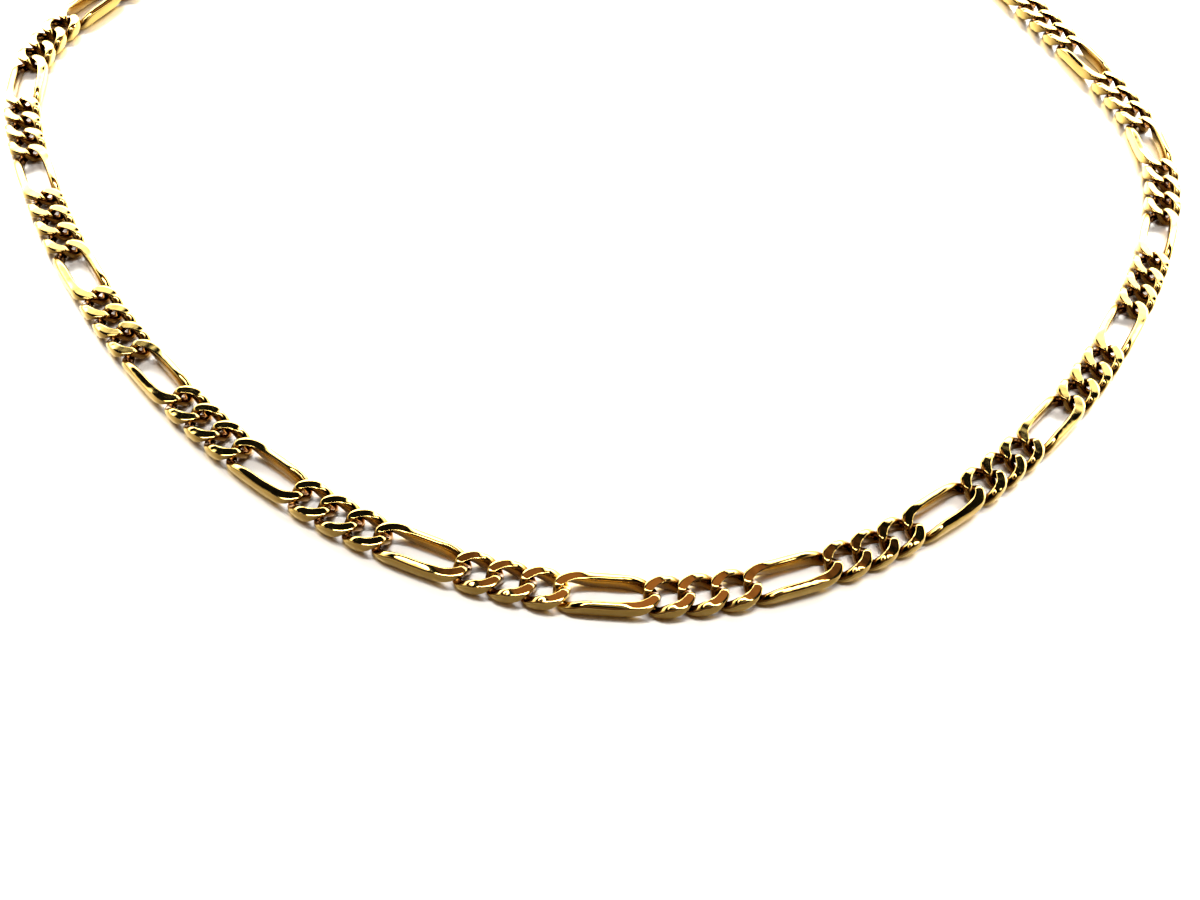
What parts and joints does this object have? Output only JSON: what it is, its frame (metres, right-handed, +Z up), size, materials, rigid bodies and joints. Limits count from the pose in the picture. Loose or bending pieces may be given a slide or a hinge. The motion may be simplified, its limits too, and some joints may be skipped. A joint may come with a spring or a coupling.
{
  "type": "figaro chain necklace",
  "caption": "Flat necklace chain of interlocked twisted oval links, short ones in a repeating run with a long one, closed with a plain barrel clasp and laid out as an open loop.",
  "frame": {"origin": "middle of the laid-out loop, on the surface that it rests on", "axes": "+Z up from the surface; -Y towards the front of the necklace, where the picture is taken from; +Y towards the clasp; +X to the right in the picture"},
  "size_m": [0.1392, 0.1691, 0.0028],
  "materials": {
    "gold": "yellow gold, polished, with flat mirror faces on both sides of the chain"
  },
  "bodies": {
    "root": {"chain_left": "gold", "chain_right": "gold", "clasp": "gold"}
  },
  "joints": []
}
